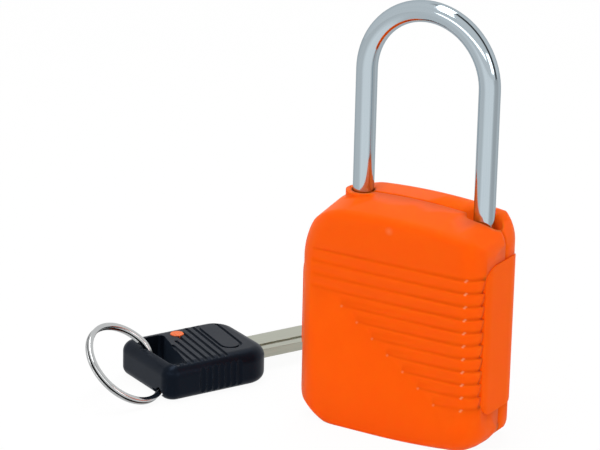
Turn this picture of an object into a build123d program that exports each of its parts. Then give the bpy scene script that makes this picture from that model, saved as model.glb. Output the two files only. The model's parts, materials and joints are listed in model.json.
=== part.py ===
# Safety padlock with a long shackle, and its key lying beside it. Millimetres.
# +Z is up and the front of the padlock faces -Y. The base stands on Z = 0.
# The seam of the two shells and both legs of the shackle lie in the plane Y = 0.
import os
from math import acos, atan2, cos, radians, sin, sqrt

from build123d import *

os.makedirs("parts", exist_ok=True)

# Casing
body_width = 44.0
body_height = 50.0
front_depth = 11.0
rear_depth = 9.0
crown_fall = 1.7
top_slope = 0.17
left_base_radius = 12.0
right_base_radius = 3.5
left_shoulder_radius = 12.5
right_shoulder_radius = 5.2
front_edge_radius = 2.0
rear_edge_radius = 3.0
front_corner_radius = 5.5
rear_corner_radius = 6.9
base_bow = 1.8
base_trim = 0.2
cut_margin = 1.0
seam_width = 0.45
seam_depth = 0.35

# Louvred ribs of the front
rib_count = 11
rib_pitch = 2.84
rib_depth = 0.6
rib_start_depth = 0.25
rib_waist_height = 1.2
rib_waist_share = 0.35
lowest_ledge = 10.1
full_rib_count = 4
full_rib_start_x = -18.0
diagonal_start_x = -10.5
diagonal_step_x = 3.77
rib_overshoot = 0.05

# Side panels
panel_proud = 0.25
panel_depth = 0.9
panel_fit = 0.04
panel_front_y = -7.6
panel_rear_y = 6.6
right_panel_bottom_z = 8.4
right_panel_top_z = 41.0
left_panel_bottom_z = 14.0
left_panel_top_z = 34.4
panel_corner_radius = 3.0

# Shackle
wire_diameter = 4.5
leg_spacing = 28.8
shackle_x = 2.2
shackle_clearance = 38.0
leg_gap = 0.3
toe_slot_length = 8.2
toe_slot_depth = 5.0
collar_radius = 3.7
collar_drop = 0.5
heel_end_z = 8.0
heel_head_height = 3.0
neck_diameter = 3.0
lift = 15.5
toe_clear = 0.4
leg_end_chamfer = 0.5

# Shackle retainer and spring
retainer_thickness = 2.0
retainer_gap = 0.3
retainer_reach_out = 5.5
retainer_reach_in = 3.2
retainer_half_width = 4.5
fork_gap = 0.15
spring_wire = 0.6
spring_turns = 4
spring_floor_z = 2.0
spring_gap = 0.1
wire_sides = 6

# Locking bolt and cam
bolt_thickness = 3.0
bolt_travel = 6.0
bolt_engagement = 1.0
bolt_gap = 0.15
bolt_nose_half_width = 2.6
bolt_slide_half_length = 3.2
bolt_rear_y = 6.6
notch_gap = 0.2
toe_foot = 1.2
cam_pin_diameter = 2.2
cam_slot_gap = 0.2
cam_radius = 5.9
cam_thickness = 1.8
tang_width = 4.0
tang_height = 1.2
tang_gap = 0.05

# Cylinder lock
cylinder_x = 5.0
plug_radius = 6.25
plug_gap = 0.05
plug_face_z = 0.8
plug_flange_radius = 7.2
plug_flange_height = 1.3
housing_radius = 7.8
housing_to_bolt = 4.2
bible_half_width = 2.6
stub_radius = 4.0
stub_height = 1.2
clip_radius = 7.0
clip_thickness = 0.8
keyway_half_width = 1.15
keyway_low_x = -4.3
keyway_high_x = 4.6
keyway_top_z = 31.0
pin_count = 5
pin_first_z = 8.0
pin_pitch = 4.6
pin_diameter = 2.6
chamber_diameter = 2.8
driver_length = 3.0
driver_gap = 0.1
key_pin_outer = 6.0
key_pin_lengths = (2.2, 2.9, 2.5, 3.2, 2.4)
pin_spring_length = 2.5
pin_spring_wire = 0.3
pin_spring_turns = 3
strip_thickness = 0.8
seat_gap = 0.05

# Key: a head of moulded plastic on a flat blade, lying on the base plane
key_x = -43.9
key_y = 9.5
key_turn = 64.3
head_thickness = 8.0
head_front_u = -2.2
head_rear_u = -29.0
head_half_width = 10.8
head_front_corner = 5.5
head_rear_corner = 3.0
head_top_edge = 2.6
head_bottom_edge = 2.0
eye_wall = 2.2
eye_length = 7.5
eye_far_w = 8.0
eye_near_w = -8.8
eye_slant = 4.0
eye_corner = 1.2
grip_slant = -6.5
groove_count = 8
groove_pitch = 1.7
groove_first_s = -12.3
groove_first_t = 9.5
groove_step_t = 2.1
groove_width = 0.8
groove_depth = 0.35
badge_s = -8.9
badge_t = 0.4
badge_length = 16.6
badge_width = 5.4
badge_rim = 0.7
scallop_count = 7
scallop_pitch = 1.55
scallop_first_u = -20.2
scallop_radius = 0.9
scallop_depth = 0.4
blade_width = 8.6
blade_thickness = 2.0
blade_length = 28.0
blade_root = 9.0
blade_tip_chamfer = 2.5
blade_groove_width = 1.2
blade_groove_depth = 0.5
blade_groove_offset = 1.7
blade_groove_run_in = 3.0
dot_diameter = 3.0
dot_depth = 1.5
dot_proud = 0.2
dot_u = -16.5
dot_w = 6.6
ring_outer_radius = 10.1
ring_wire_width = 1.15
ring_coil_height = 0.75
ring_coil_gap = 0.15
ring_groove = 0.3
ring_gap = 0.3
ring_lean = 43.1
ring_heading = 117.7
ring_tip_inset = 4.1
ring_w = -2.2

half_width = body_width / 2
wire_radius = wire_diameter / 2
heel_x = shackle_x - leg_spacing / 2
toe_x = shackle_x + leg_spacing / 2
arch_z = body_height + shackle_clearance - leg_spacing / 2 + wire_radius
toe_end_z = body_height + toe_clear - lift
ramp_run = bolt_engagement + notch_gap
ramp_height = ramp_run * lift / bolt_travel
bolt_bottom_z = toe_end_z + toe_foot + ramp_height + notch_gap
bolt_top_z = bolt_bottom_z + bolt_thickness
housing_top_z = bolt_bottom_z - housing_to_bolt
housing_bottom_z = plug_face_z + plug_flange_height + plug_gap
cam_bottom_z = housing_top_z + stub_height
cam_orbit = bolt_travel / sqrt(2)
cam_pin_x = cylinder_x + bolt_travel / 2
cam_pin_y = bolt_travel / 2
shear_x = cylinder_x - plug_radius
driver_outer_x = shear_x - driver_gap - driver_length
strip_x = driver_outer_x - pin_spring_length - seat_gap
head_top_z = heel_end_z + heel_head_height
retainer_bottom_z = head_top_z + lift + retainer_gap
retainer_top_z = retainer_bottom_z + retainer_thickness
neck_top_z = retainer_top_z + retainer_gap
pin_heights = [pin_first_z + index * pin_pitch for index in range(pin_count)]


def plan_section(inset):
    """Outline of the casing seen from above, drawn in by an inset."""
    with BuildSketch() as section:
        with Locations((0, (rear_depth - front_depth) / 2)):
            Rectangle(body_width - 2 * inset, front_depth + rear_depth - 2 * inset)
        fillet(section.vertices().group_by(Axis.Y)[0], front_corner_radius - inset)
        fillet(section.vertices().group_by(Axis.Y)[-1], rear_corner_radius - inset)
    return section.sketch


def side_face(bottom_z, top_z, margin):
    """Outline of a side panel seen from the side, widened by a margin."""
    with BuildSketch(Plane.YZ) as face:
        with Locations(((panel_front_y + panel_rear_y) / 2, (bottom_z + top_z) / 2)):
            RectangleRounded(
                panel_rear_y - panel_front_y + 2 * margin,
                top_z - bottom_z + 2 * margin,
                panel_corner_radius + margin,
            )
    return face.sketch


def save(piece, name):
    piece.part.label = name
    export_step(piece.part, f"parts/{name}.step")


# Outer form of the whole casing, before it is parted along the seam
casing_plan = plan_section(0)
with BuildPart() as casing_form:
    with BuildSketch(Plane.XZ) as face_outline:
        with BuildLine():
            crown = ThreePointArc(
                (-half_width, body_height - crown_fall),
                (shackle_x, body_height),
                (half_width, body_height - crown_fall),
            )
            base = ThreePointArc(
                (half_width, base_bow - base_trim),
                (0, -base_trim),
                (-half_width, base_bow - base_trim),
            )
            Line(crown @ 1, base @ 0)
            Line(base @ 1, crown @ 0)
        make_face()
        fillet(face_outline.vertices().sort_by_distance((half_width, 0))[0], right_base_radius)
        fillet(face_outline.vertices().sort_by_distance((-half_width, 0))[0], left_base_radius)
        fillet(face_outline.vertices().sort_by_distance((half_width, body_height))[0], right_shoulder_radius)
        fillet(face_outline.vertices().sort_by_distance((-half_width, body_height))[0], left_shoulder_radius)
    extrude(amount=front_depth * sqrt(1 + top_slope**2), dir=(0, -1, -top_slope))
    extrude(face_outline.sketch, amount=rear_depth, dir=(0, 1, 0))
    fillet(casing_form.faces().sort_by(Axis.Y)[0].edges(), front_edge_radius)
    fillet(casing_form.faces().sort_by(Axis.Y)[-1].edges(), rear_edge_radius)
    extrude(casing_plan, amount=2 * body_height, mode=Mode.INTERSECT)
    with BuildSketch(Plane.XY.offset(body_height / 2)):
        with Locations((heel_x, 0)):
            Circle(collar_radius)
    extrude(amount=body_height / 2 - collar_drop)

# Narrow groove that shows where the two shells meet
with BuildPart() as seam_groove:
    with BuildSketch(Plane.XZ):
        add(face_outline.sketch_local)
        offset(amount=-seam_depth, mode=Mode.SUBTRACT)
    extrude(amount=seam_width)

# Cuts that leave the louvred ribs: each is deepest on its ledge and grows shallower to the left
rib_ledges = [lowest_ledge + index * rib_pitch for index in range(rib_count)]
diagonal_count = rib_count - full_rib_count
rib_starts = [diagonal_start_x + index * diagonal_step_x for index in reversed(range(diagonal_count))]
rib_starts += [full_rib_start_x] * (full_rib_count - 1) + [-half_width]


def rib_section(height, start_x, start_depth, depth):
    """Outline that a rib leaves at a height: whole left of its start, and set back more to the right."""
    right_x = half_width - depth
    left_x = -half_width - cut_margin
    front_y = -front_depth + depth
    with BuildSketch(Plane.XY.offset(height)) as section:
        with BuildLine():
            Polyline(
                (left_x, -front_depth - cut_margin),
                (start_x, -front_depth - cut_margin),
                (start_x, -front_depth + start_depth),
                (right_x, front_y),
                (right_x, rear_depth),
                (left_x, rear_depth),
                close=True,
            )
        make_face()
        fillet(section.vertices().sort_by_distance((right_x, front_y))[0], front_corner_radius - depth)
    return section.sketch


rib_levels = (
    (0, rib_start_depth, rib_depth),
    (rib_waist_height, rib_waist_share * rib_start_depth, rib_waist_share * rib_depth),
    (rib_pitch, -rib_overshoot, -rib_overshoot),
)
rib_outlines = [
    [rib_section(ledge + rise, start, start_depth, depth) for rise, start_depth, depth in rib_levels]
    for ledge, start in zip(rib_ledges, rib_starts)
]
with BuildPart() as rib_cuts:
    with BuildSketch(Plane.XY.offset(lowest_ledge)):
        with Locations((0, -front_depth - cut_margin)):
            Rectangle(
                body_width + 2 * cut_margin,
                front_depth + cut_margin + panel_front_y,
                align=(Align.CENTER, Align.MIN),
            )
    extrude(amount=rib_count * rib_pitch)
    for floor, waist, brim in rib_outlines:
        loft([floor.faces()[0], waist.faces()[0]], ruled=True, mode=Mode.SUBTRACT)
        loft([waist.faces()[0], brim.faces()[0]], ruled=True, mode=Mode.SUBTRACT)

# Hollows shared by the two shells
bolt_low_x = cam_pin_x - bolt_slide_half_length
bolt_high_x = cam_pin_x + bolt_slide_half_length
with BuildPart() as hollows:
    with BuildSketch(Plane.XY.offset(spring_floor_z)):
        with Locations((heel_x, 0)):
            Circle(wire_radius + leg_gap)
    extrude(amount=body_height)
    with BuildSketch(Plane.XY.offset(toe_end_z - leg_gap)):
        with Locations((toe_x, 0)):
            Circle(wire_radius + leg_gap)
    extrude(amount=body_height)
    with BuildSketch(Plane.XY.offset(body_height - toe_slot_depth)):
        with Locations((toe_x, 0)):
            SlotOverall(toe_slot_length, wire_diameter + 2 * leg_gap)
    extrude(amount=2 * toe_slot_depth)
    with BuildSketch(Plane.XY.offset(retainer_bottom_z - seat_gap)):
        with Locations((heel_x + (retainer_reach_in - retainer_reach_out) / 2, 0)):
            Rectangle(
                retainer_reach_out + retainer_reach_in + 2 * seat_gap,
                2 * (retainer_half_width + seat_gap),
            )
    extrude(amount=retainer_thickness + 2 * seat_gap)
    with BuildSketch(Plane.XY.offset(-base_trim)):
        with Locations((cylinder_x, 0)):
            Circle(plug_flange_radius + plug_gap)
    extrude(amount=base_trim + housing_bottom_z)
    with BuildSketch(Plane.XY.offset(housing_bottom_z)):
        with Locations((cylinder_x, 0)):
            Circle(housing_radius + seat_gap)
        with Locations((strip_x - strip_thickness - seat_gap, 0)):
            Rectangle(
                cylinder_x - strip_x + strip_thickness,
                2 * (bible_half_width + seat_gap),
                align=(Align.MIN, Align.CENTER),
            )
    extrude(amount=housing_top_z + seat_gap - housing_bottom_z)
    with BuildSketch(Plane.XY.offset(housing_top_z)):
        with Locations((cylinder_x, 0)):
            Circle(clip_radius + leg_gap)
    extrude(amount=bolt_bottom_z - housing_top_z)
    with BuildSketch(Plane.XY.offset(bolt_bottom_z - bolt_gap)):
        with Locations((bolt_low_x - bolt_travel - bolt_gap, -bolt_nose_half_width - bolt_gap)):
            Rectangle(
                2 * bolt_slide_half_length + bolt_travel + 2 * bolt_gap,
                bolt_nose_half_width + bolt_rear_y + 2 * bolt_gap,
                align=(Align.MIN, Align.MIN),
            )
        with Locations((bolt_high_x, 0)):
            Rectangle(
                toe_x - bolt_high_x,
                2 * (bolt_nose_half_width + bolt_gap),
                align=(Align.MIN, Align.CENTER),
            )
    extrude(amount=bolt_thickness + 2 * bolt_gap)

# Shallow seats for the two side panels
seat_outer = plan_section(-2 * panel_proud)
seat_inner = plan_section(panel_depth + panel_fit)
right_seat_face = side_face(right_panel_bottom_z, right_panel_top_z, panel_fit)
left_seat_face = side_face(left_panel_bottom_z, left_panel_top_z, panel_fit)
with BuildPart() as right_seat:
    extrude(seat_outer, amount=body_height)
    extrude(seat_inner, amount=body_height, mode=Mode.SUBTRACT)
    extrude(right_seat_face, amount=body_width, mode=Mode.INTERSECT)
with BuildPart() as left_seat:
    extrude(seat_outer, amount=body_height)
    extrude(seat_inner, amount=body_height, mode=Mode.SUBTRACT)
    extrude(left_seat_face, amount=-body_width, mode=Mode.INTERSECT)

with BuildPart() as front_shell:
    add(casing_form.part)
    split(bisect_by=Plane.XZ, keep=Keep.TOP)
    add(rib_cuts.part, mode=Mode.SUBTRACT)
    add(seam_groove.part, mode=Mode.SUBTRACT)
    add(hollows.part, mode=Mode.SUBTRACT)
    add(right_seat.part, mode=Mode.SUBTRACT)
    add(left_seat.part, mode=Mode.SUBTRACT)
save(front_shell, "front_shell")

with BuildPart() as rear_shell:
    add(casing_form.part)
    split(bisect_by=Plane.XZ, keep=Keep.BOTTOM)
    add(hollows.part, mode=Mode.SUBTRACT)
    add(right_seat.part, mode=Mode.SUBTRACT)
    add(left_seat.part, mode=Mode.SUBTRACT)
save(rear_shell, "rear_shell")

panel_outer = plan_section(-panel_proud)
panel_inner = plan_section(panel_depth)
right_face = side_face(right_panel_bottom_z, right_panel_top_z, 0)
left_face = side_face(left_panel_bottom_z, left_panel_top_z, 0)
with BuildPart() as right_side_panel:
    extrude(panel_outer, amount=body_height)
    extrude(panel_inner, amount=body_height, mode=Mode.SUBTRACT)
    extrude(right_face, amount=body_width, mode=Mode.INTERSECT)
save(right_side_panel, "right_side_panel")

with BuildPart() as left_side_panel:
    extrude(panel_outer, amount=body_height)
    extrude(panel_inner, amount=body_height, mode=Mode.SUBTRACT)
    extrude(left_face, amount=-body_width, mode=Mode.INTERSECT)
save(left_side_panel, "left_side_panel")

# Shackle: one bent wire, with a neck in the heel and a notch in the toe
notch_floor_x = toe_x - wire_radius + ramp_run
with BuildPart() as shackle:
    with BuildLine(Plane.XZ) as wire_path:
        heel_leg = Line((heel_x, heel_end_z), (heel_x, arch_z))
        bow = CenterArc((shackle_x, arch_z), leg_spacing / 2, 180, -180)
        Line((toe_x, arch_z), (toe_x, toe_end_z))
    with BuildSketch(Plane.XY.offset(heel_end_z)):
        with Locations((heel_x, 0)):
            Circle(wire_radius)
    sweep(path=wire_path.wires()[0])
    chamfer(shackle.faces().filter_by(Axis.Z).edges(), leg_end_chamfer)
    with BuildSketch(Plane.XY.offset(head_top_z)):
        with Locations((heel_x, 0)):
            Circle(wire_diameter)
            Circle(neck_diameter / 2, mode=Mode.SUBTRACT)
    extrude(amount=neck_top_z - head_top_z, mode=Mode.SUBTRACT)
    with BuildSketch(Plane.XZ):
        with BuildLine():
            Polyline(
                (toe_x - wire_diameter, bolt_top_z + notch_gap),
                (notch_floor_x, bolt_top_z + notch_gap),
                (notch_floor_x, bolt_bottom_z - notch_gap),
                (toe_x - wire_radius, bolt_bottom_z - notch_gap - ramp_height),
                (toe_x - wire_diameter, bolt_bottom_z - notch_gap - ramp_height),
                close=True,
            )
        make_face()
    extrude(amount=wire_diameter, both=True, mode=Mode.SUBTRACT)
save(shackle, "shackle")

# Fork that keeps the heel in the casing
with BuildPart() as shackle_retainer:
    with BuildSketch(Plane.XY.offset(retainer_bottom_z)):
        with Locations((heel_x + (retainer_reach_in - retainer_reach_out) / 2, 0)):
            Rectangle(retainer_reach_out + retainer_reach_in, 2 * retainer_half_width)
        with Locations((heel_x, 0)):
            Circle(neck_diameter / 2 + fork_gap, mode=Mode.SUBTRACT)
            Rectangle(
                retainer_reach_out,
                neck_diameter + 2 * fork_gap,
                align=(Align.MAX, Align.CENTER),
                mode=Mode.SUBTRACT,
            )
    extrude(amount=retainer_thickness)
save(shackle_retainer, "shackle_retainer")

# Spring under the heel
spring_radius = wire_radius + leg_gap / 2 - spring_gap - spring_wire / 2
spring_rise = heel_end_z - spring_floor_z - 2 * spring_gap - spring_wire
spring_start_z = spring_floor_z + spring_gap + spring_wire / 2
with BuildPart() as shackle_spring:
    with BuildLine() as coil:
        Helix(spring_rise / spring_turns, spring_rise, spring_radius, center=(heel_x, 0, spring_start_z))
    with BuildSketch(Plane(coil.line @ 0, z_dir=coil.line % 0)):
        RegularPolygon(spring_wire / 2, wire_sides)
    sweep(path=coil.wires()[0], is_frenet=True)
save(shackle_spring, "shackle_spring")

# Bolt that enters the toe's notch, with the slot that the cam pin works in
slot_length = cam_orbit - cam_pin_y + cam_pin_diameter + 2 * cam_slot_gap
with BuildPart() as locking_bolt:
    with BuildSketch(Plane.XY.offset(bolt_bottom_z)):
        with Locations((bolt_low_x, -bolt_nose_half_width)):
            Rectangle(
                2 * bolt_slide_half_length,
                bolt_nose_half_width + bolt_rear_y,
                align=(Align.MIN, Align.MIN),
            )
        with Locations((cam_pin_x, 0)):
            Rectangle(
                toe_x - wire_radius + bolt_engagement - cam_pin_x,
                2 * bolt_nose_half_width,
                align=(Align.MIN, Align.CENTER),
            )
        with Locations((cam_pin_x, (cam_pin_y + cam_orbit) / 2)):
            SlotOverall(
                slot_length,
                cam_pin_diameter + 2 * cam_slot_gap,
                rotation=90,
                mode=Mode.SUBTRACT,
            )
    extrude(amount=bolt_thickness)
save(locking_bolt, "locking_bolt")

# Cam on the plug's tang
with BuildPart() as drive_cam:
    with BuildSketch(Plane.XY.offset(cam_bottom_z)):
        with Locations((cylinder_x, 0)):
            Circle(cam_radius)
            Rectangle(tang_width + 2 * tang_gap, tang_width + 2 * tang_gap, mode=Mode.SUBTRACT)
    extrude(amount=cam_thickness)
    with BuildSketch(Plane.XY.offset(cam_bottom_z + cam_thickness)):
        with Locations((cam_pin_x, cam_pin_y)):
            Circle(cam_pin_diameter / 2)
    extrude(amount=bolt_top_z - bolt_gap - cam_bottom_z - cam_thickness)
save(drive_cam, "drive_cam")

# Housing of the cylinder with its chamber rib
with BuildPart() as cylinder_housing:
    with BuildSketch(Plane.XY.offset(housing_bottom_z)):
        with Locations((cylinder_x, 0)):
            Circle(housing_radius)
        with Locations((strip_x, 0)):
            Rectangle(
                cylinder_x - strip_x,
                2 * bible_half_width,
                align=(Align.MIN, Align.CENTER),
            )
        with Locations((cylinder_x, 0)):
            Circle(plug_radius + plug_gap, mode=Mode.SUBTRACT)
    extrude(amount=housing_top_z - housing_bottom_z)
    with BuildSketch(Plane.YZ.offset(strip_x)):
        with Locations([(0, height) for height in pin_heights]):
            Circle(chamber_diameter / 2)
    extrude(amount=cylinder_x - strip_x, mode=Mode.SUBTRACT)
save(cylinder_housing, "cylinder_housing")

# Plug with its flange, keyway, pin chambers, clip stub and tang
with BuildPart() as cylinder_plug:
    with BuildSketch(Plane.XY.offset(plug_face_z)):
        with Locations((cylinder_x, 0)):
            Circle(plug_flange_radius)
    extrude(amount=plug_flange_height)
    with BuildSketch(Plane.XY.offset(plug_face_z)):
        with Locations((cylinder_x, 0)):
            Circle(plug_radius)
    extrude(amount=housing_top_z - plug_face_z)
    with BuildSketch(Plane.XY.offset(housing_top_z)):
        with Locations((cylinder_x, 0)):
            Circle(stub_radius)
    extrude(amount=stub_height)
    with BuildSketch(Plane.XY.offset(cam_bottom_z)):
        with Locations((cylinder_x, 0)):
            Rectangle(tang_width, tang_width)
    extrude(amount=tang_height)
    with BuildSketch(Plane.XY.offset(plug_face_z)):
        with Locations((cylinder_x + (keyway_low_x + keyway_high_x) / 2, 0)):
            Rectangle(keyway_high_x - keyway_low_x, 2 * keyway_half_width)
    extrude(amount=keyway_top_z - plug_face_z, mode=Mode.SUBTRACT)
    with BuildSketch(Plane.YZ.offset(shear_x - cut_margin)):
        with Locations([(0, height) for height in pin_heights]):
            Circle(chamber_diameter / 2)
    extrude(amount=cut_margin + plug_radius + keyway_low_x + max(key_pin_lengths) / 2, mode=Mode.SUBTRACT)
save(cylinder_plug, "cylinder_plug")

with BuildPart() as plug_clip:
    with BuildSketch(Plane.XY.offset(housing_top_z + plug_gap)):
        with Locations((cylinder_x, 0)):
            Circle(clip_radius)
            Circle(stub_radius + plug_gap, mode=Mode.SUBTRACT)
            Rectangle(
                clip_radius + cut_margin,
                stub_radius,
                align=(Align.MAX, Align.CENTER),
                mode=Mode.SUBTRACT,
            )
    extrude(amount=clip_thickness)
save(plug_clip, "plug_clip")

# Pin stacks, resting at the shear line so that the plug is free to turn
with BuildPart() as key_pins:
    for height, length in zip(pin_heights, key_pin_lengths):
        with BuildSketch(Plane.YZ.offset(cylinder_x - key_pin_outer)):
            with Locations((0, height)):
                Circle(pin_diameter / 2)
        extrude(amount=length)
save(key_pins, "key_pins")

with BuildPart() as driver_pins:
    with BuildSketch(Plane.YZ.offset(driver_outer_x)):
        with Locations([(0, height) for height in pin_heights]):
            Circle(pin_diameter / 2)
    extrude(amount=driver_length)
save(driver_pins, "driver_pins")

pin_spring_radius = pin_diameter / 2 - pin_spring_wire
pin_spring_rise = pin_spring_length - pin_spring_wire
with BuildPart() as pin_springs:
    for height in pin_heights:
        with BuildLine() as pin_coil:
            Helix(
                pin_spring_rise / pin_spring_turns,
                pin_spring_rise,
                pin_spring_radius,
                center=(driver_outer_x - pin_spring_wire / 2, 0, height),
                direction=(-1, 0, 0),
            )
        with BuildSketch(Plane(pin_coil.line @ 0, z_dir=pin_coil.line % 0)):
            RegularPolygon(pin_spring_wire / 2, wire_sides)
        sweep(path=pin_coil.wires()[0], is_frenet=True)
save(pin_springs, "pin_springs")

with BuildPart() as chamber_strip:
    with BuildSketch(Plane.XY.offset(housing_bottom_z)):
        with Locations((strip_x, 0)):
            Rectangle(strip_thickness, 2 * bible_half_width, align=(Align.MAX, Align.CENTER))
    extrude(amount=housing_top_z - housing_bottom_z)
save(chamber_strip, "chamber_strip")

# Key frame: local X runs along the blade, local Y to its left
key_direction = (cos(radians(key_turn)), sin(radians(key_turn)), 0)
key_base = Plane((key_x, key_y, 0), x_dir=key_direction, z_dir=(0, 0, 1))
blade_bottom_z = (head_thickness - blade_thickness) / 2
blade_plane = key_base.offset(blade_bottom_z)

with BuildPart() as key_blade:
    with BuildSketch(blade_plane) as blade_outline:
        with Locations((-blade_root, 0)):
            Rectangle(blade_root + blade_length, blade_width, align=(Align.MIN, Align.CENTER))
        chamfer(blade_outline.vertices().group_by(Axis.X)[-1], blade_tip_chamfer)
    extrude(amount=blade_thickness)
    for face_z, side in ((blade_thickness, -1), (0, 1)):
        with BuildSketch(blade_plane.offset(face_z)):
            with Locations((-blade_groove_run_in, -blade_groove_offset)):
                Rectangle(
                    blade_length + blade_groove_run_in,
                    blade_groove_width,
                    align=(Align.MIN, Align.CENTER),
                )
        extrude(amount=side * blade_groove_depth, mode=Mode.SUBTRACT)
save(key_blade, "key_blade")

# Split ring: it stands on the base plane, passes through the eye and leans away from the head
lean = radians(ring_lean)
heading = radians(ring_heading)
ring_half_height = ring_coil_height + ring_coil_gap / 2
ring_middle_radius = ring_outer_radius - ring_wire_width / 2
ring_spread = sqrt(1 - (sin(lean) * cos(heading)) ** 2)
ring_u = head_rear_u + ring_tip_inset - ring_outer_radius * ring_spread
ring_z = ring_outer_radius * sin(lean) + ring_half_height * cos(lean) + seat_gap
ring_facing = Vector(-sin(lean) * cos(heading), -sin(lean) * sin(heading), cos(lean))
ring_centre = key_base.from_local_coords(Vector(ring_u, ring_w, ring_z))
ring_normal = key_base.from_local_coords(Vector(ring_u, ring_w, ring_z) + ring_facing) - ring_centre
ring_axis = Axis(ring_centre, ring_normal)
ring_plane = Plane(ring_centre, z_dir=ring_normal)
section_plane = Plane(ring_centre, x_dir=ring_plane.x_dir, z_dir=-ring_plane.y_dir)

# Place where the lower side of the ring passes the end wall of the head
wall_reach = (head_rear_u + eye_wall / 2 - ring_u) / ring_middle_radius
pass_angle = atan2(cos(lean) * cos(heading), sin(heading)) - acos(wall_reach / ring_spread)
pass_w = ring_w + ring_middle_radius * (
    cos(lean) * sin(heading) * sin(pass_angle) - cos(heading) * cos(pass_angle)
)
pass_z = ring_z + ring_middle_radius * sin(lean) * sin(pass_angle)


def ring_section(margin, groove):
    """Section through the two coils of the ring, widened by a margin."""
    with BuildSketch(section_plane) as section:
        with Locations((ring_outer_radius - ring_wire_width / 2, 0)):
            Rectangle(ring_wire_width + 2 * margin, 2 * (ring_half_height + margin))
        if groove > 0:
            with Locations((ring_outer_radius, 0), (ring_outer_radius - ring_wire_width, 0)):
                Rectangle(2 * groove, ring_coil_gap, mode=Mode.SUBTRACT)
    return section.sketch


ring_profile = ring_section(0, ring_groove)
ring_relief = ring_section(ring_gap, 0)
with BuildPart() as key_ring:
    revolve(ring_profile, ring_axis)
save(key_ring, "key_ring")

# Head of the key, with the eye for the ring, grip grooves, a bare badge and scalloped sides
eye_rear_u = head_rear_u + eye_wall
grip_plane = key_base.offset(head_thickness).rotated((0, 0, grip_slant))
pass_width = 2 * (ring_half_height + ring_gap) / sin(lean)
with BuildPart() as key_head:
    with BuildSketch(key_base) as head_outline:
        with Locations((head_rear_u, 0)):
            Rectangle(
                head_front_u - head_rear_u,
                2 * head_half_width,
                align=(Align.MIN, Align.CENTER),
            )
        fillet(head_outline.vertices().group_by(Axis.X)[0], head_rear_corner)
        fillet(head_outline.vertices().group_by(Axis.X)[-1], head_front_corner)
    extrude(amount=head_thickness)
    fillet(key_head.faces().sort_by(Axis.Z)[-1].edges(), head_top_edge)
    fillet(key_head.faces().sort_by(Axis.Z)[0].edges(), head_bottom_edge)
    with BuildSketch(key_base) as eye_outline:
        with BuildLine():
            Polyline(
                (eye_rear_u, eye_far_w),
                (eye_rear_u + eye_length, eye_far_w),
                (eye_rear_u + eye_length - eye_slant, eye_near_w),
                (eye_rear_u, eye_near_w),
                close=True,
            )
        make_face()
        fillet(eye_outline.vertices(), eye_corner)
    extrude(amount=head_thickness, mode=Mode.SUBTRACT)
    revolve(ring_relief, ring_axis, mode=Mode.SUBTRACT)
    with BuildSketch(key_base):
        with Locations((head_rear_u, pass_w)):
            Rectangle(2 * eye_wall, pass_width)
    extrude(amount=pass_z, mode=Mode.SUBTRACT)
    with BuildSketch(grip_plane):
        for index in range(groove_count):
            with Locations((groove_first_s - index * groove_pitch, groove_first_t - index * groove_step_t)):
                Rectangle(groove_width, 2 * head_half_width, align=(Align.CENTER, Align.MAX))
    extrude(amount=-groove_depth, mode=Mode.SUBTRACT)
    with BuildSketch(grip_plane):
        with Locations((badge_s, badge_t)):
            SlotOverall(badge_length, badge_width, rotation=90)
            SlotOverall(
                badge_length - 2 * badge_rim,
                badge_width - 2 * badge_rim,
                rotation=90,
                mode=Mode.SUBTRACT,
            )
    extrude(amount=-groove_depth, mode=Mode.SUBTRACT)
    with BuildSketch(key_base):
        scallop_w = head_half_width + scallop_radius - scallop_depth
        for index in range(scallop_count):
            scallop_u = scallop_first_u + index * scallop_pitch
            with Locations((scallop_u, -scallop_w), (scallop_u, scallop_w)):
                Circle(scallop_radius)
    extrude(amount=head_thickness, mode=Mode.SUBTRACT)
    with BuildSketch(key_base.offset(head_thickness)):
        with Locations((dot_u, dot_w)):
            Circle(dot_diameter / 2)
    extrude(amount=-dot_depth, mode=Mode.SUBTRACT)
    with BuildSketch(blade_plane):
        with Locations((-blade_root, 0)):
            Rectangle(2 * blade_root, blade_width, align=(Align.MIN, Align.CENTER))
    extrude(amount=blade_thickness, mode=Mode.SUBTRACT)
save(key_head, "key_head")

with BuildPart() as key_dot:
    with BuildSketch(key_base.offset(head_thickness - dot_depth)):
        with Locations((dot_u, dot_w)):
            Circle(dot_diameter / 2)
    extrude(amount=dot_depth + dot_proud)
    fillet(key_dot.edges().group_by(Axis.Z)[-1], dot_proud)
save(key_dot, "key_dot")
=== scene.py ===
import json
import math

import bmesh
import bpy
from mathutils import Matrix, Vector


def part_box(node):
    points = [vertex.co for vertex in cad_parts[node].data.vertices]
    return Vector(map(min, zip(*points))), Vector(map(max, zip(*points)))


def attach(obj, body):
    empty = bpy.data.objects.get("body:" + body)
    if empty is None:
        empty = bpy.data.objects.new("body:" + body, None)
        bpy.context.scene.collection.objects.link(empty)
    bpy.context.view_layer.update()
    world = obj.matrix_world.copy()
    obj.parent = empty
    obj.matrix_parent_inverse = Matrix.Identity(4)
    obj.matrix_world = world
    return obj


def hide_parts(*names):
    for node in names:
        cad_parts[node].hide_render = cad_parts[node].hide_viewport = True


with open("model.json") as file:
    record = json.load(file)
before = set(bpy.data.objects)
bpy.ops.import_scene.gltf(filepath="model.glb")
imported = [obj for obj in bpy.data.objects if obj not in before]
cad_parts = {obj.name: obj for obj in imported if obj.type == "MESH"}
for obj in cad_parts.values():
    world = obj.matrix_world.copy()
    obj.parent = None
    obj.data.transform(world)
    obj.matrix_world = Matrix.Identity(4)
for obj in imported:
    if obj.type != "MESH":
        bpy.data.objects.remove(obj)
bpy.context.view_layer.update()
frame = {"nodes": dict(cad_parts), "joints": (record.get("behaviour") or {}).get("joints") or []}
nodes = frame["nodes"]

MM = 0.001

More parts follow.
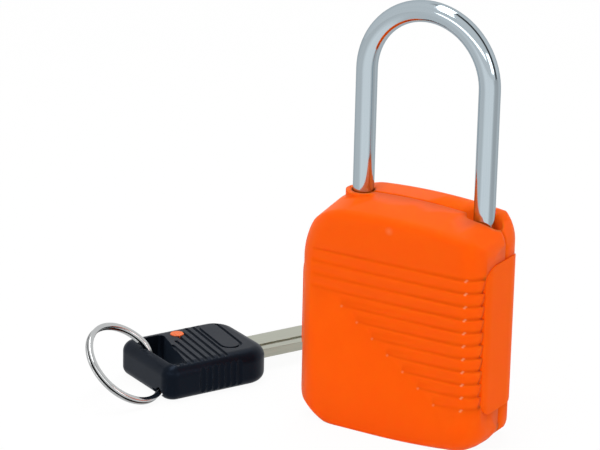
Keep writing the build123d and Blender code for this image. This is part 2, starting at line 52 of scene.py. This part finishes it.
# Camera: the photograph's viewing angle, with the image taken as 600 by 450
IMAGE_WIDTH_PX = 600
FOCAL_PX = 3112
SENSOR_WIDTH_MM = 36.0
CAMERA_AZIMUTH = 31.2
CAMERA_ELEVATION = 19.0
CAMERA_ROLL = 1.33
CAMERA_PLACE_MM = (297.1, -536.0, 254.3)

# Ribs on the casing's front: ledge heights, the front corner's line and the slanted row of rib ends, where
# highlights are painted, and the mark of the mould's gate above them
RIB_COUNT = 11
RIB_PITCH_MM = 2.84
LOWEST_LEDGE_MM = 10.1
CORNER_LINE_MM = 18.5
SLANTED_RIBS = 7
LOWEST_RIB_START_MM = 12.3
RIB_START_STEP_MM = 3.77
FRONT_ZONE_MM = -8.0
GATE_MARK_MM = (0.5, -11.0, 45.8)
GATE_MARK_RADIUS_MM = 1.1

# Form that rounds the casing: its plan, a foot that grows rounder to the right, and two shoulders
HALF_WIDTH_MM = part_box("front_shell")[1].x / MM
FRONT_DEPTH_MM = -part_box("front_shell")[0].y / MM
REAR_DEPTH_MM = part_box("rear_shell")[1].y / MM
FRONT_CORNER_MM = 5.5
REAR_CORNER_MM = 6.9
FOOT_ROUND_LEFT_MM = 0.4
FOOT_ROUND_RIGHT_MM = 5.3
FOOT_ROUND_REAR_SHARE = 0.85
FOOT_ROUND_FROM_MM = -2.0
FOOT_STEPS = 10
LEFT_SHOULDER_MM = {"start": 35.3, "rise": 15.5, "reach": 14.0}
RIGHT_SHOULDER_MM = {"start": 43.3, "rise": 7.2, "reach": 6.0}
SHOULDER_END_SHARE = 0.88
SHOULDER_STEP_MM = 1.2
SHOULDER_STEPS = 13
FORM_TOP_MM = 66.0
CORNER_STEPS = 12
STRAIGHT_STEPS = 12
CLEAR_MM = 0.02
WELD_MM = 0.0005
SHARP_DEG = 28

# Split key ring with the painted shade in its coil gap, and the way the key lies on the floor
RING_OUTER_RADIUS_MM = 10.1
RING_WIRE_WIDTH_MM = 1.15
RING_COIL_HEIGHT_MM = 0.67
RING_COIL_GAP_MM = 0.31
RING_WIRE_ROUND_MM = 0.30
RING_GAP_DARK_MM = 0.16
RING_GAP_CLEAR_MM = 0.36
RING_GAP_SHADE = 0.95
RING_CORNER_STEPS = 5
RING_END_DEG = 16
RING_STEP_DEG = 3
KEY_TURN = 62.3

# Floor, and the light painted into it for bright metal to show: brightest toward the camera, duller aside
# and to the right
FLOOR_HALF_WIDTH = 4.0
FLOOR_DROP = 0.05 * MM
FLOOR_WHITE_SHARE = 0.95
TOWARD_CAMERA = (0.5, -0.866, 0.0)
TOWARD_RIGHT = (0.985, 0.174, 0.0)
FLOOR_ASIDE_LEVEL = 0.72
FLOOR_RIGHT_SHARE = 0.76

# Studio round the object, with the dark gap that metal shows between the overhead lamp and the backdrop
WORLD_LEVEL = 0.55
BACKDROP_LEVEL = 0.80
GAP_LEVEL = 0.05
GAP_MIDDLE = 0.28
GAP_CORE = 0.13
GAP_EDGE = 0.22
GAP_LEFT_END = -0.45
GAP_LEFT_FULL = -0.20

# Soft lamps: name, place and width by height in metres, and power in watts
LAMP_AIM = (0.0, 0.0, 0.04)
SOFTBOXES = (
    ("overhead softbox", (-0.08, 0.0, 0.75), 0.80, 0.22, 3.6),
    ("front softbox", (0.17, -0.80, 0.42), 1.10, 0.16, 1.4),
    ("right softbox", (0.70, -0.15, 0.30), 0.30, 0.30, 0.8),
)


def linear(hex_colour):
    """Linear RGBA of an sRGB hex colour."""
    channels = [int(hex_colour[i:i + 2], 16) / 255 for i in (1, 3, 5)]
    return [c / 12.92 if c <= 0.04045 else ((c + 0.055) / 1.055) ** 2.4 for c in channels] + [1.0]


def add(tree, kind, settings=None, links=None):
    """Adds a node, sets its properties and sockets, and links sockets into it."""
    node = tree.nodes.new("ShaderNode" + kind)
    for key, value in (settings or {}).items():
        if isinstance(key, str) and hasattr(node, key):
            setattr(node, key, value)
        else:
            node.inputs[key].default_value = value
    for key, socket in (links or {}).items():
        tree.links.new(socket, node.inputs[key])
    return node


def new_material(name):
    """An empty node material and the tree that holds its nodes."""
    material = bpy.data.materials.new(name)
    material.use_nodes = True
    material.node_tree.nodes.clear()
    return material, material.node_tree


def dress(names, material):
    """Gives the named CAD nodes one material."""
    for name in names:
        mesh = nodes[name].data
        mesh.materials.clear()
        mesh.materials.append(material)


def rib_glints_and_gate_mark(tree, place):
    """Painted highlights where the rib ledges meet the front corner and where the slanted ribs start, and
    the pale mark where the nylon went in.
    """
    glint_mm = 0.40
    corner_glint_strength = 0.75
    slanted_glint_strength = 0.4
    gate_strength = 0.24
    axes = add(tree, "SeparateXYZ", links={0: place})
    steps = add(
        tree, "MapRange",
        {
            "clamp": False,
            "From Min": LOWEST_LEDGE_MM * MM,
            "From Max": (LOWEST_LEDGE_MM + RIB_PITCH_MM) * MM,
        },
        {"Value": axes.outputs["Z"]},
    )
    index = add(tree, "Math", {"operation": "ROUND"}, {0: steps.outputs[0]})
    above = add(tree, "Math", {"operation": "SUBTRACT"}, {0: steps.outputs[0], 1: index.outputs[0]})
    rise = add(tree, "Math", {"operation": "MULTIPLY", 1: RIB_PITCH_MM * MM}, {0: above.outputs[0]})
    start = add(
        tree, "Math",
        {"operation": "MULTIPLY_ADD", 1: -RIB_START_STEP_MM * MM, 2: LOWEST_RIB_START_MM * MM},
        {0: index.outputs[0]},
    )
    corner = add(tree, "Value")
    corner.outputs[0].default_value = CORNER_LINE_MM * MM
    front = add(tree, "Math", {"operation": "LESS_THAN", 1: FRONT_ZONE_MM * MM}, {0: axes.outputs["Y"]})
    spots = []
    for line, count, strength in (
        (corner, RIB_COUNT, corner_glint_strength), (start, SLANTED_RIBS, slanted_glint_strength),
    ):
        aside = add(tree, "Math", {"operation": "SUBTRACT"}, {0: axes.outputs["X"], 1: line.outputs[0]})
        reach = add(tree, "CombineXYZ", links={"X": aside.outputs[0], "Y": rise.outputs[0]})
        away = add(tree, "VectorMath", {"operation": "LENGTH"}, {0: reach.outputs[0]})
        spot = add(
            tree, "MapRange",
            {"From Min": 0.0, "From Max": glint_mm * MM, "To Min": strength, "To Max": 0.0},
            {"Value": away.outputs["Value"]},
        )
        counted = add(
            tree, "Math", {"operation": "COMPARE", 1: (count - 1) / 2, 2: count / 2}, {0: index.outputs[0]},
        )
        kept = add(tree, "Math", {"operation": "MULTIPLY"}, {0: spot.outputs[0], 1: counted.outputs[0]})
        spots.append(kept.outputs[0])
    both = add(tree, "Math", {"operation": "MAXIMUM"}, {0: spots[0], 1: spots[1]})
    ribs = add(tree, "Math", {"operation": "MULTIPLY"}, {0: both.outputs[0], 1: front.outputs[0]})
    from_gate = add(
        tree, "VectorMath", {"operation": "DISTANCE", 1: Vector(GATE_MARK_MM) * MM}, {0: place},
    )
    gate = add(
        tree, "MapRange",
        {"From Min": 0.0, "From Max": GATE_MARK_RADIUS_MM * MM, "To Min": gate_strength, "To Max": 0.0},
        {"Value": from_gate.outputs["Value"]},
    )
    return add(tree, "Math", {"operation": "MAXIMUM"}, {0: ribs.outputs[0], 1: gate.outputs[0]}).outputs[0]


# Moulded glass-filled nylon, dyed through: a satin skin with a fine spark-eroded grain,
# faint cloudy flow marks, and edges, hollow corners too, painted a little paler as a painted highlight.
def moulded_nylon(name, hex_colour, hex_cloud, hex_edge_light, edge_mm, roughness, specular, hex_gloss,
                  sheen, glow, glints_and_gate_mark=False):
    grain_mm = 0.22
    grain_depth_mm = 0.02
    cloud_mm = 7.0
    glow_mm = 0.8
    rough_spread = 0.06
    edge_share = 0.55
    material, tree = new_material(name)
    place = add(tree, "TexCoord").outputs["Object"]
    clouds = add(tree, "TexNoise", {"Scale": 1 / (cloud_mm * MM), "Detail": 3.0}, {"Vector": place})
    grain = add(tree, "TexNoise", {"Scale": 1 / (grain_mm * MM), "Detail": 2.0}, {"Vector": place})
    colour = add(
        tree, "Mix",
        {"data_type": "RGBA", 6: linear(hex_colour), 7: linear(hex_cloud)},
        {0: clouds.outputs[0]},
    )
    rounded = add(tree, "Bevel", {"samples": 6, "Radius": edge_mm * MM})
    flat = add(tree, "NewGeometry")
    facing = add(
        tree, "VectorMath", {"operation": "DOT_PRODUCT"},
        {0: rounded.outputs[0], 1: flat.outputs["Normal"]},
    )
    # Painted highlight: where the rounded normal leaves the flat one, at outer edges and hollow corners
    # alike, the colour is mixed toward a paler edge colour
    edge = add(
        tree, "MapRange",
        {"From Min": 0.99, "From Max": 0.75, "To Min": 0.0, "To Max": edge_share},
        {"Value": facing.outputs["Value"]},
    )
    highlit_colour = add(
        tree, "Mix", {"data_type": "RGBA", 7: linear(hex_edge_light)},
        {0: edge.outputs[0], 6: colour.outputs[2]},
    )
    # Painted highlights on the rib corners and rib ends, and the gate mark, mixed in as a pale colour
    if glints_and_gate_mark:
        highlit_colour = add(
            tree, "Mix", {"data_type": "RGBA", 7: linear("#FFAC7C")},
            {0: rib_glints_and_gate_mark(tree, place), 6: highlit_colour.outputs[2]},
        )
    rough = add(
        tree, "MapRange", {"To Min": roughness - rough_spread, "To Max": roughness + rough_spread},
        {"Value": clouds.outputs[0]},
    )
    bump = add(
        tree, "Bump", {"Strength": 0.12, "Distance": grain_depth_mm * MM},
        {"Height": grain.outputs[0], "Normal": rounded.outputs[0]},
    )
    skin = add(
        tree, "BsdfPrincipled",
        {
            "IOR": 1.53, "Specular IOR Level": specular, "Specular Tint": linear(hex_gloss),
            "Sheen Weight": sheen, "Sheen Tint": linear(hex_gloss),
            "Subsurface Weight": glow, "Subsurface Radius": (1.0, 0.4, 0.15),
            "Subsurface Scale": glow_mm * MM,
        },
        {"Base Color": highlit_colour.outputs[2], "Roughness": rough.outputs[0], "Normal": bump.outputs[0]},
    )
    add(tree, "OutputMaterial", links={"Surface": skin.outputs[0]})
    return material


# Drawn and polished hardened steel wire: a cool bright mirror with faint lines along the wire.
def polished_wire(name):
    line_mm = 0.25
    line_depth_mm = 0.01
    line_slowness = 0.02
    low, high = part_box("shackle")
    spacing = high.x - low.x
    middle = (low.x + high.x) / 2
    arch_z = high.z - spacing / 2
    material, tree = new_material(name)
    place = add(tree, "SeparateXYZ", links={0: add(tree, "TexCoord").outputs["Object"]})
    across = add(tree, "Math", {"operation": "SUBTRACT", 1: middle}, {0: place.outputs["X"]})
    above = add(tree, "Math", {"operation": "SUBTRACT", 1: arch_z}, {0: place.outputs["Z"]})
    rise = add(tree, "Math", {"operation": "MAXIMUM", 1: 0.0}, {0: above.outputs[0]})
    reach = add(tree, "CombineXYZ", links={"X": across.outputs[0], "Y": rise.outputs[0]})
    radial = add(tree, "VectorMath", {"operation": "LENGTH"}, {0: reach.outputs[0]})
    slow = add(tree, "Math", {"operation": "MULTIPLY", 1: line_slowness}, {0: place.outputs["Z"]})
    along = add(
        tree, "CombineXYZ",
        links={"X": radial.outputs["Value"], "Y": place.outputs["Y"], "Z": slow.outputs[0]},
    )
    lines = add(
        tree, "TexNoise", {"Scale": 1 / (line_mm * MM), "Detail": 2.0}, {"Vector": along.outputs[0]},
    )
    rough = add(tree, "MapRange", {"To Min": 0.05, "To Max": 0.13}, {"Value": lines.outputs[0]})
    tone = add(
        tree, "Mix", {"data_type": "RGBA", 6: linear("#B8C5CD"), 7: linear("#C2CED5")},
        {0: lines.outputs[0]},
    )
    bump = add(
        tree, "Bump", {"Strength": 0.05, "Distance": line_depth_mm * MM}, {"Height": lines.outputs[0]},
    )
    metal = add(
        tree, "BsdfPrincipled", {"Metallic": 1.0, "Specular Tint": linear("#D2D8DC")},
        {"Base Color": tone.outputs[2], "Roughness": rough.outputs[0], "Normal": bump.outputs[0]},
    )
    add(tree, "OutputMaterial", links={"Surface": metal.outputs[0]})
    return material


# Metals of the works, the key and its ring: brushed, turned, drawn or plated, with fine marks that
# break the highlight, drawn out one way where the metal was brushed or turned.
def marked_metal(name, hex_low, hex_high, roughness, mark_mm, stretch, turn_deg, strength, edge_mm):
    mark_depth_mm = 0.02
    rough_share = 0.3
    material, tree = new_material(name)
    place = add(tree, "TexCoord").outputs["Object"]
    turned = add(
        tree, "Mapping",
        {"vector_type": "TEXTURE", "Scale": stretch, "Rotation": (0.0, 0.0, math.radians(turn_deg))},
        {"Vector": place},
    )
    marks = add(
        tree, "TexNoise", {"Scale": 1 / (mark_mm * MM), "Detail": 3.0},
        {"Vector": turned.outputs[0]},
    )
    tone = add(
        tree, "Mix", {"data_type": "RGBA", 6: linear(hex_low), 7: linear(hex_high)},
        {0: marks.outputs[0]},
    )
    rough = add(
        tree, "MapRange",
        {"To Min": roughness * (1 - rough_share), "To Max": roughness * (1 + rough_share)},
        {"Value": marks.outputs[0]},
    )
    rounded = add(tree, "Bevel", {"samples": 6, "Radius": edge_mm * MM})
    bump = add(
        tree, "Bump", {"Strength": strength, "Distance": mark_depth_mm * MM},
        {"Height": marks.outputs[0], "Normal": rounded.outputs[0]},
    )
    metal = add(
        tree, "BsdfPrincipled", {"Metallic": 1.0},
        {"Base Color": tone.outputs[2], "Roughness": rough.outputs[0], "Normal": bump.outputs[0]},
    )
    add(tree, "OutputMaterial", links={"Surface": metal.outputs[0]})
    return material


def foot_radius(point):
    """Radius of the casing's lower edge at a point of its plan."""
    right = (point.x - FOOT_ROUND_FROM_MM) / (HALF_WIDTH_MM - FOOT_ROUND_FROM_MM)
    right = min(max(right, 0), 1)
    rear = min(max(1 + point.y / (FRONT_DEPTH_MM - FRONT_CORNER_MM / 2), 0), 1)
    radius = FOOT_ROUND_LEFT_MM + (FOOT_ROUND_RIGHT_MM - FOOT_ROUND_LEFT_MM) * right ** 2
    return radius * (1 - (1 - FOOT_ROUND_REAR_SHARE) * rear)


def lean_in(height, start, rise, reach):
    """How far an elliptical shoulder has come in at a height."""
    share = min(max((height - start) / rise, 0), SHOULDER_END_SHARE)
    return reach * (1 - math.sqrt(1 - share ** 2))


def casing_plan():
    """Points round the casing seen from above, each with the way out and the leaning corner's share."""
    corners = (
        (1, 1, REAR_CORNER_MM), (-1, 1, REAR_CORNER_MM),
        (-1, -1, FRONT_CORNER_MM), (1, -1, FRONT_CORNER_MM),
    )
    plan = []
    for quarter, (side, end, radius) in enumerate(corners):
        depth = REAR_DEPTH_MM if end > 0 else FRONT_DEPTH_MM
        middle = Vector((side * (HALF_WIDTH_MM - radius), end * (depth - radius), 0))
        lean = Vector((quarter == 2, quarter == 0))
        for step in range(CORNER_STEPS + 1):
            turn = math.radians(90 * (quarter + step / CORNER_STEPS))
            outward = Vector((math.cos(turn), math.sin(turn), 0))
            plan.append((middle + outward * (radius + CLEAR_MM), outward, lean))
    straight = []
    for here, after in zip(plan, plan[1:] + plan[:1]):
        steps = STRAIGHT_STEPS if (after[0] - here[0]).length > FRONT_CORNER_MM else 1
        straight += [
            (here[0].lerp(after[0], step / steps), here[1], here[2].lerp(after[2], step / steps))
            for step in range(steps)
        ]
    return straight


def make_casing_form():
    """A block that fits closely round the casing, with a rounded foot and rounded shoulders."""
    plan = casing_plan()
    around = len(plan)
    points = []
    for step in range(FOOT_STEPS + 1):
        turn = math.radians(90 * step / FOOT_STEPS)
        for point, outward, lean in plan:
            inset = foot_radius(point) * (1 - math.sin(turn))
            height = foot_radius(point) * (1 - math.cos(turn)) - CLEAR_MM
            points.append((point - outward * inset + Vector((0, 0, height))) * MM)
    heights = [LEFT_SHOULDER_MM["start"] + SHOULDER_STEP_MM * step for step in range(SHOULDER_STEPS)]
    for height in heights + [FORM_TOP_MM]:
        left = lean_in(height, **LEFT_SHOULDER_MM)
        right = lean_in(height, **RIGHT_SHOULDER_MM)
        for point, outward, lean in plan:
            points.append((point + Vector((lean.x * left - lean.y * right, 0, height))) * MM)
    levels = FOOT_STEPS + len(heights) + 1
    faces = [tuple(reversed(range(around))), tuple(range(levels * around, (levels + 1) * around))]
    for level in range(levels):
        for side in range(around):
            low, high = level * around + side, level * around + (side + 1) % around
            faces.append((low, high, high + around, low + around))
    mesh = bpy.data.meshes.new("casing_form")
    mesh.from_pydata(points, [], faces)
    form = bpy.data.objects.new("casing_form", mesh)
    bpy.context.scene.collection.objects.link(form)
    return form


def drop_folded_faces(mesh):
    """Takes out the pairs of faces without thickness that a cut can leave."""
    shape = bmesh.new()
    shape.from_mesh(mesh)
    bmesh.ops.remove_doubles(shape, verts=shape.verts, dist=WELD_MM * MM)
    bmesh.ops.triangulate(shape, faces=shape.faces)
    shape.verts.index_update()
    pairs = {}
    for face in shape.faces:
        pairs.setdefault(frozenset(vertex.index for vertex in face.verts), []).append(face)
    folded = [face for faces in pairs.values() if len(faces) > 1 for face in faces]
    bmesh.ops.delete(shape, geom=folded, context="FACES")
    shape.to_mesh(mesh)
    shape.free()


def round_shell(name):
    """Replaces a shell by a copy that is rounded like the moulding."""
    mesh = nodes[name].data.copy()
    shape = bmesh.new()
    shape.from_mesh(mesh)
    bmesh.ops.remove_doubles(shape, verts=shape.verts, dist=WELD_MM * MM)
    shape.to_mesh(mesh)
    shape.free()
    shell = bpy.data.objects.new(name + "_moulding", mesh)
    bpy.context.scene.collection.objects.link(shell)
    form = make_casing_form()
    cut = shell.modifiers.new("rounding", "BOOLEAN")
    cut.operation = "INTERSECT"
    cut.solver = "EXACT"
    cut.object = form
    graph = bpy.context.evaluated_depsgraph_get()
    rounded = bpy.data.meshes.new_from_object(shell.evaluated_get(graph))
    shell.modifiers.clear()
    shell.data = rounded
    bpy.data.objects.remove(form)
    drop_folded_faces(rounded)
    rounded.shade_smooth()
    rounded.set_sharp_from_angle(angle=math.radians(SHARP_DEG))
    rounded.materials.clear()
    rounded.materials.append(casing_nylon)
    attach(shell, "casing")
    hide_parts(name)


casing_nylon = moulded_nylon(
    "orange moulded nylon", "#FB5902", "#FE5F04", "#FF6E1C",
    edge_mm=0.80, roughness=0.42, specular=0.03, hex_gloss="#FFF0E0", sheen=0.07, glow=0.5, glints_and_gate_mark=True,
)
panel_nylon = moulded_nylon(
    "orange moulded nylon panel", "#FB5902", "#FE5E04", "#FF6E1C",
    edge_mm=0.25, roughness=0.40, specular=0.025, hex_gloss="#FFFFFF", sheen=0.0, glow=0.5,
)
head_nylon = moulded_nylon(
    "black moulded nylon", "#06090F", "#0A0E15", "#1C242E",
    edge_mm=0.22, roughness=0.34, specular=0.12, hex_gloss="#B4D2FF", sheen=0.05, glow=0.0,
)
dot_nylon = moulded_nylon(
    "orange dot nylon", "#E8733E", "#E26A36", "#F08A5C",
    edge_mm=0.16, roughness=0.45, specular=0.20, hex_gloss="#FFFFFF", sheen=0.0, glow=0.3,
)
dress(["front_shell", "rear_shell"], casing_nylon)
for shell_name in ("front_shell", "rear_shell"):
    round_shell(shell_name)
dress(["left_side_panel", "right_side_panel"], panel_nylon)
dress(["key_head"], head_nylon)
dress(["key_dot"], dot_nylon)
dress(["shackle"], polished_wire("polished steel wire"))
dress(
    ["key_blade"],
    marked_metal(
        "brushed nickel silver", "#B0B2A4", "#C6C8BA",
        roughness=0.34, mark_mm=0.5, stretch=(14, 1, 1), turn_deg=KEY_TURN, strength=0.08, edge_mm=0.2,
    ),
)
ring_plate = marked_metal(
    "nickel-plated spring steel", "#C2C4C5", "#D6D8D8",
    roughness=0.08, mark_mm=2.0, stretch=(1, 1, 1), turn_deg=0, strength=0.03, edge_mm=0.05,
)
dress(
    ["cylinder_housing", "cylinder_plug", "key_pins", "driver_pins", "chamber_strip"],
    marked_metal(
        "turned brass", "#B08D4C", "#D2AF6A",
        roughness=0.28, mark_mm=0.1, stretch=(8, 8, 1), turn_deg=0, strength=0.2, edge_mm=0.1,
    ),
)
dress(
    ["locking_bolt", "drive_cam", "shackle_retainer"],
    marked_metal(
        "zinc-plated steel", "#9EA3A6", "#BEC3C6",
        roughness=0.30, mark_mm=0.8, stretch=(1, 1, 1), turn_deg=0, strength=0.2, edge_mm=0.1,
    ),
)
dress(
    ["shackle_spring", "pin_springs", "plug_clip"],
    marked_metal(
        "drawn spring steel", "#7C8084", "#A0A4A8",
        roughness=0.28, mark_mm=0.6, stretch=(1, 1, 1), turn_deg=0, strength=0.1, edge_mm=0.05,
    ),
)


def rounded_section(width, height, radius, corner_steps):
    """Points round a rectangle with rounded corners, across and along the ring's axis."""
    points = []
    for quarter in range(4):
        middle_x = (width / 2 - radius) * (1 if quarter in (0, 3) else -1)
        middle_y = (height / 2 - radius) * (1 if quarter in (0, 1) else -1)
        for step in range(corner_steps + 1):
            turn = math.radians(90 * (quarter + step / corner_steps))
            points.append((middle_x + radius * math.cos(turn), middle_y + radius * math.sin(turn)))
    return points


def paint_gap_shade(material, middle, axis):
    """Painted shade in the gap between the ring's two coils."""
    tree = material.node_tree
    metal = next(node for node in tree.nodes if node.type == "BSDF_PRINCIPLED")
    tone = metal.inputs["Base Color"].links[0].from_socket
    place = add(tree, "TexCoord").outputs["Object"]
    from_middle = add(tree, "VectorMath", {"operation": "SUBTRACT", 1: middle}, {0: place})
    along = add(tree, "VectorMath", {"operation": "DOT_PRODUCT", 1: axis}, {0: from_middle.outputs[0]})
    away = add(tree, "Math", {"operation": "ABSOLUTE"}, {0: along.outputs["Value"]})
    dark = add(
        tree, "MapRange",
        {
            "From Min": RING_GAP_DARK_MM * MM, "From Max": RING_GAP_CLEAR_MM * MM,
            "To Min": RING_GAP_SHADE, "To Max": 0.0,
        },
        {"Value": away.outputs[0]},
    )
    # Painted shade: the plating's colour is mixed toward near black close to the plane between the coils
    shaded = add(
        tree, "Mix", {"data_type": "RGBA", 7: linear("#242628")}, {0: dark.outputs[0], 6: tone},
    )
    tree.links.new(shaded.outputs[2], metal.inputs["Base Color"])


def make_key_ring(material):
    """Split ring: two flat coils of rounded wire, which change level where the key's head hides it."""
    joint = next(j for j in frame["joints"] if j["name"] == "ring_turn")
    middle, axis = Vector(joint["pos_m"]), Vector(joint["axis"]).normalized()
    into_head = Vector((0, 0, 1)).cross(axis).normalized()
    sideways = axis.cross(into_head)
    paint_gap_shade(material, middle, axis)
    section = rounded_section(
        RING_WIRE_WIDTH_MM, RING_COIL_HEIGHT_MM, RING_WIRE_ROUND_MM, RING_CORNER_STEPS,
    )
    around = len(section)
    level = (RING_COIL_HEIGHT_MM + RING_COIL_GAP_MM) / 2
    count = round((720 - 2 * RING_END_DEG) / RING_STEP_DEG)
    points = []
    for step in range(count + 1):
        degrees = RING_END_DEG + (720 - 2 * RING_END_DEG) * step / count
        change = min(max((degrees - 360) / RING_END_DEG, -1), 1)
        height = level * math.sin(change * math.pi / 2)
        turn = math.radians(degrees)
        outward = into_head * math.cos(turn) + sideways * math.sin(turn)
        wire = RING_OUTER_RADIUS_MM - RING_WIRE_WIDTH_MM / 2
        points += [middle + (outward * (wire + x) + axis * (height + y)) * MM for x, y in section]
    faces = [tuple(range(around)), tuple(reversed(range(count * around, (count + 1) * around)))]
    for step in range(count):
        for side in range(around):
            low, high = step * around + side, step * around + (side + 1) % around
            faces.append((low, low + around, high + around, high))
    mesh = bpy.data.meshes.new("split_key_ring")
    mesh.from_pydata(points, [], faces)
    for face in mesh.polygons:
        face.use_smooth = len(face.vertices) == 4
    mesh.materials.append(material)
    ring = bpy.data.objects.new("split_key_ring", mesh)
    bpy.context.scene.collection.objects.link(ring)
    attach(ring, "key_ring")
    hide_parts("key_ring")


dress(["key_ring"], ring_plate)
make_key_ring(ring_plate)


def white_surround(tree, lit_shader, white_shader, reflected_level, white_share):
    """White for the eye, a given level of it for reflections, and the lit shader for other rays."""
    rays = add(tree, "LightPath")
    seen = add(
        tree, "Math", {"operation": "MAXIMUM"},
        {0: rays.outputs["Is Camera Ray"], 1: rays.outputs["Is Glossy Ray"]},
    )
    seen = add(
        tree, "Math", {"operation": "MAXIMUM"},
        {0: seen.outputs[0], 1: rays.outputs["Is Transmission Ray"]},
    )
    share = add(tree, "Math", {"operation": "MULTIPLY", 1: white_share}, {0: seen.outputs[0]})
    level = add(
        tree, "Mix", {"data_type": "FLOAT", 3: 1.0},
        {0: rays.outputs["Is Camera Ray"], 2: reflected_level},
    )
    tree.links.new(level.outputs[0], white_shader.inputs["Strength"])
    return add(
        tree, "MixShader",
        links={0: share.outputs[0], 1: lit_shader.outputs[0], 2: white_shader.outputs[0]},
    )


def make_floor():
    """White paper, with painted light that polished metal shows brightest on the camera's side."""
    mesh = bpy.data.meshes.new("floor")
    half = FLOOR_HALF_WIDTH
    corners = [(-half, -half), (half, -half), (half, half), (-half, half)]
    mesh.from_pydata([(x, y, -FLOOR_DROP) for x, y in corners], [], [(0, 1, 2, 3)])
    floor = bpy.data.objects.new("floor", mesh)
    bpy.context.scene.collection.objects.link(floor)
    material, tree = new_material("white paper")
    paper = add(tree, "BsdfDiffuse", {"Color": linear("#F4F4F4")})
    glow = add(tree, "Emission", {"Color": linear("#FFFFFF")})
    # Painted light: for reflections the paper glows in a pool, brightest toward the camera and duller aside
    # and to the right
    place = add(tree, "TexCoord").outputs["Object"]
    outward = add(tree, "VectorMath", {"operation": "NORMALIZE"}, {0: place})
    toward = add(
        tree, "VectorMath", {"operation": "DOT_PRODUCT", 1: TOWARD_CAMERA}, {0: outward.outputs[0]},
    )
    front = add(
        tree, "MapRange",
        {"From Min": 0.50, "From Max": 0.80, "To Min": FLOOR_ASIDE_LEVEL, "To Max": 1.0},
        {"Value": toward.outputs["Value"]},
    )
    aside = add(
        tree, "VectorMath", {"operation": "DOT_PRODUCT", 1: TOWARD_RIGHT}, {0: outward.outputs[0]},
    )
    shade = add(
        tree, "MapRange",
        {"From Min": 0.84, "From Max": 0.95, "To Min": 1.0, "To Max": FLOOR_RIGHT_SHARE},
        {"Value": aside.outputs["Value"]},
    )
    level = add(tree, "Math", {"operation": "MULTIPLY"}, {0: front.outputs[0], 1: shade.outputs[0]})
    mixed = white_surround(tree, paper, glow, level.outputs[0], FLOOR_WHITE_SHARE)
    add(tree, "OutputMaterial", links={"Surface": mixed.outputs[0]})
    mesh.materials.append(material)


def make_world():
    """A white studio, with a dark gap that metal shows between the overhead lamp and the backdrop."""
    world = bpy.data.worlds.new("studio")
    bpy.context.scene.world = world
    world.use_nodes = True
    tree = world.node_tree
    tree.nodes.clear()
    lit = add(tree, "Background", {"Color": linear("#FFFFFF"), "Strength": WORLD_LEVEL})
    white = add(tree, "Background", {"Color": linear("#FFFFFF")})
    way = add(tree, "SeparateXYZ", links={0: add(tree, "TexCoord").outputs["Generated"]})
    beside = add(tree, "Math", {"operation": "SUBTRACT", 1: GAP_MIDDLE}, {0: way.outputs["Y"]})
    off = add(tree, "Math", {"operation": "ABSOLUTE"}, {0: beside.outputs[0]})
    gap = add(
        tree, "MapRange", {"From Min": GAP_CORE, "From Max": GAP_EDGE, "To Min": 1.0, "To Max": 0.0},
        {"Value": off.outputs[0]},
    )
    right = add(
        tree, "MapRange",
        {"From Min": GAP_LEFT_END, "From Max": GAP_LEFT_FULL, "To Min": 0.0, "To Max": 1.0},
        {"Value": way.outputs["X"]},
    )
    dark = add(tree, "Math", {"operation": "MULTIPLY"}, {0: gap.outputs[0], 1: right.outputs[0]})
    level = add(
        tree, "MapRange", {"To Min": BACKDROP_LEVEL, "To Max": GAP_LEVEL}, {"Value": dark.outputs[0]},
    )
    mixed = white_surround(tree, lit, white, level.outputs[0], 1.0)
    add(tree, "OutputWorld", links={"Surface": mixed.outputs[0]})


def make_softbox(name, place, width, height, watts):
    """A soft lamp of a width and a height at a place, turned to the lock."""
    lamp = bpy.data.lights.new(name, "AREA")
    lamp.shape = "RECTANGLE"
    lamp.size = width
    lamp.size_y = height
    lamp.energy = watts
    box = bpy.data.objects.new(name, lamp)
    box.location = place
    box.rotation_euler = (Vector(LAMP_AIM) - Vector(place)).to_track_quat("-Z", "Y").to_euler()
    bpy.context.scene.collection.objects.link(box)


def make_camera():
    """A camera at the photograph's viewing angle."""
    azimuth = math.radians(CAMERA_AZIMUTH)
    elevation = math.radians(CAMERA_ELEVATION)
    roll = math.radians(CAMERA_ROLL)
    right = Vector((math.cos(azimuth), math.sin(azimuth), 0))
    back = Vector((
        math.sin(azimuth) * math.cos(elevation),
        -math.cos(azimuth) * math.cos(elevation),
        math.sin(elevation),
    ))
    up = back.cross(right)
    side = right * math.cos(roll) + up * math.sin(roll)
    top = up * math.cos(roll) - right * math.sin(roll)
    lens = bpy.data.cameras.new("camera")
    lens.sensor_fit = "HORIZONTAL"
    lens.sensor_width = SENSOR_WIDTH_MM
    lens.lens = FOCAL_PX * SENSOR_WIDTH_MM / IMAGE_WIDTH_PX
    lens.clip_start = 10 * MM
    camera = bpy.data.objects.new("camera", lens)
    turn = Matrix((side, top, back)).transposed().to_4x4()
    camera.matrix_world = Matrix.Translation(Vector(CAMERA_PLACE_MM) * MM) @ turn
    bpy.context.scene.collection.objects.link(camera)
    bpy.context.scene.camera = camera


make_floor()
make_world()
for softbox in SOFTBOXES:
    make_softbox(*softbox)
make_camera()
bpy.context.scene.view_settings.view_transform = "Standard"
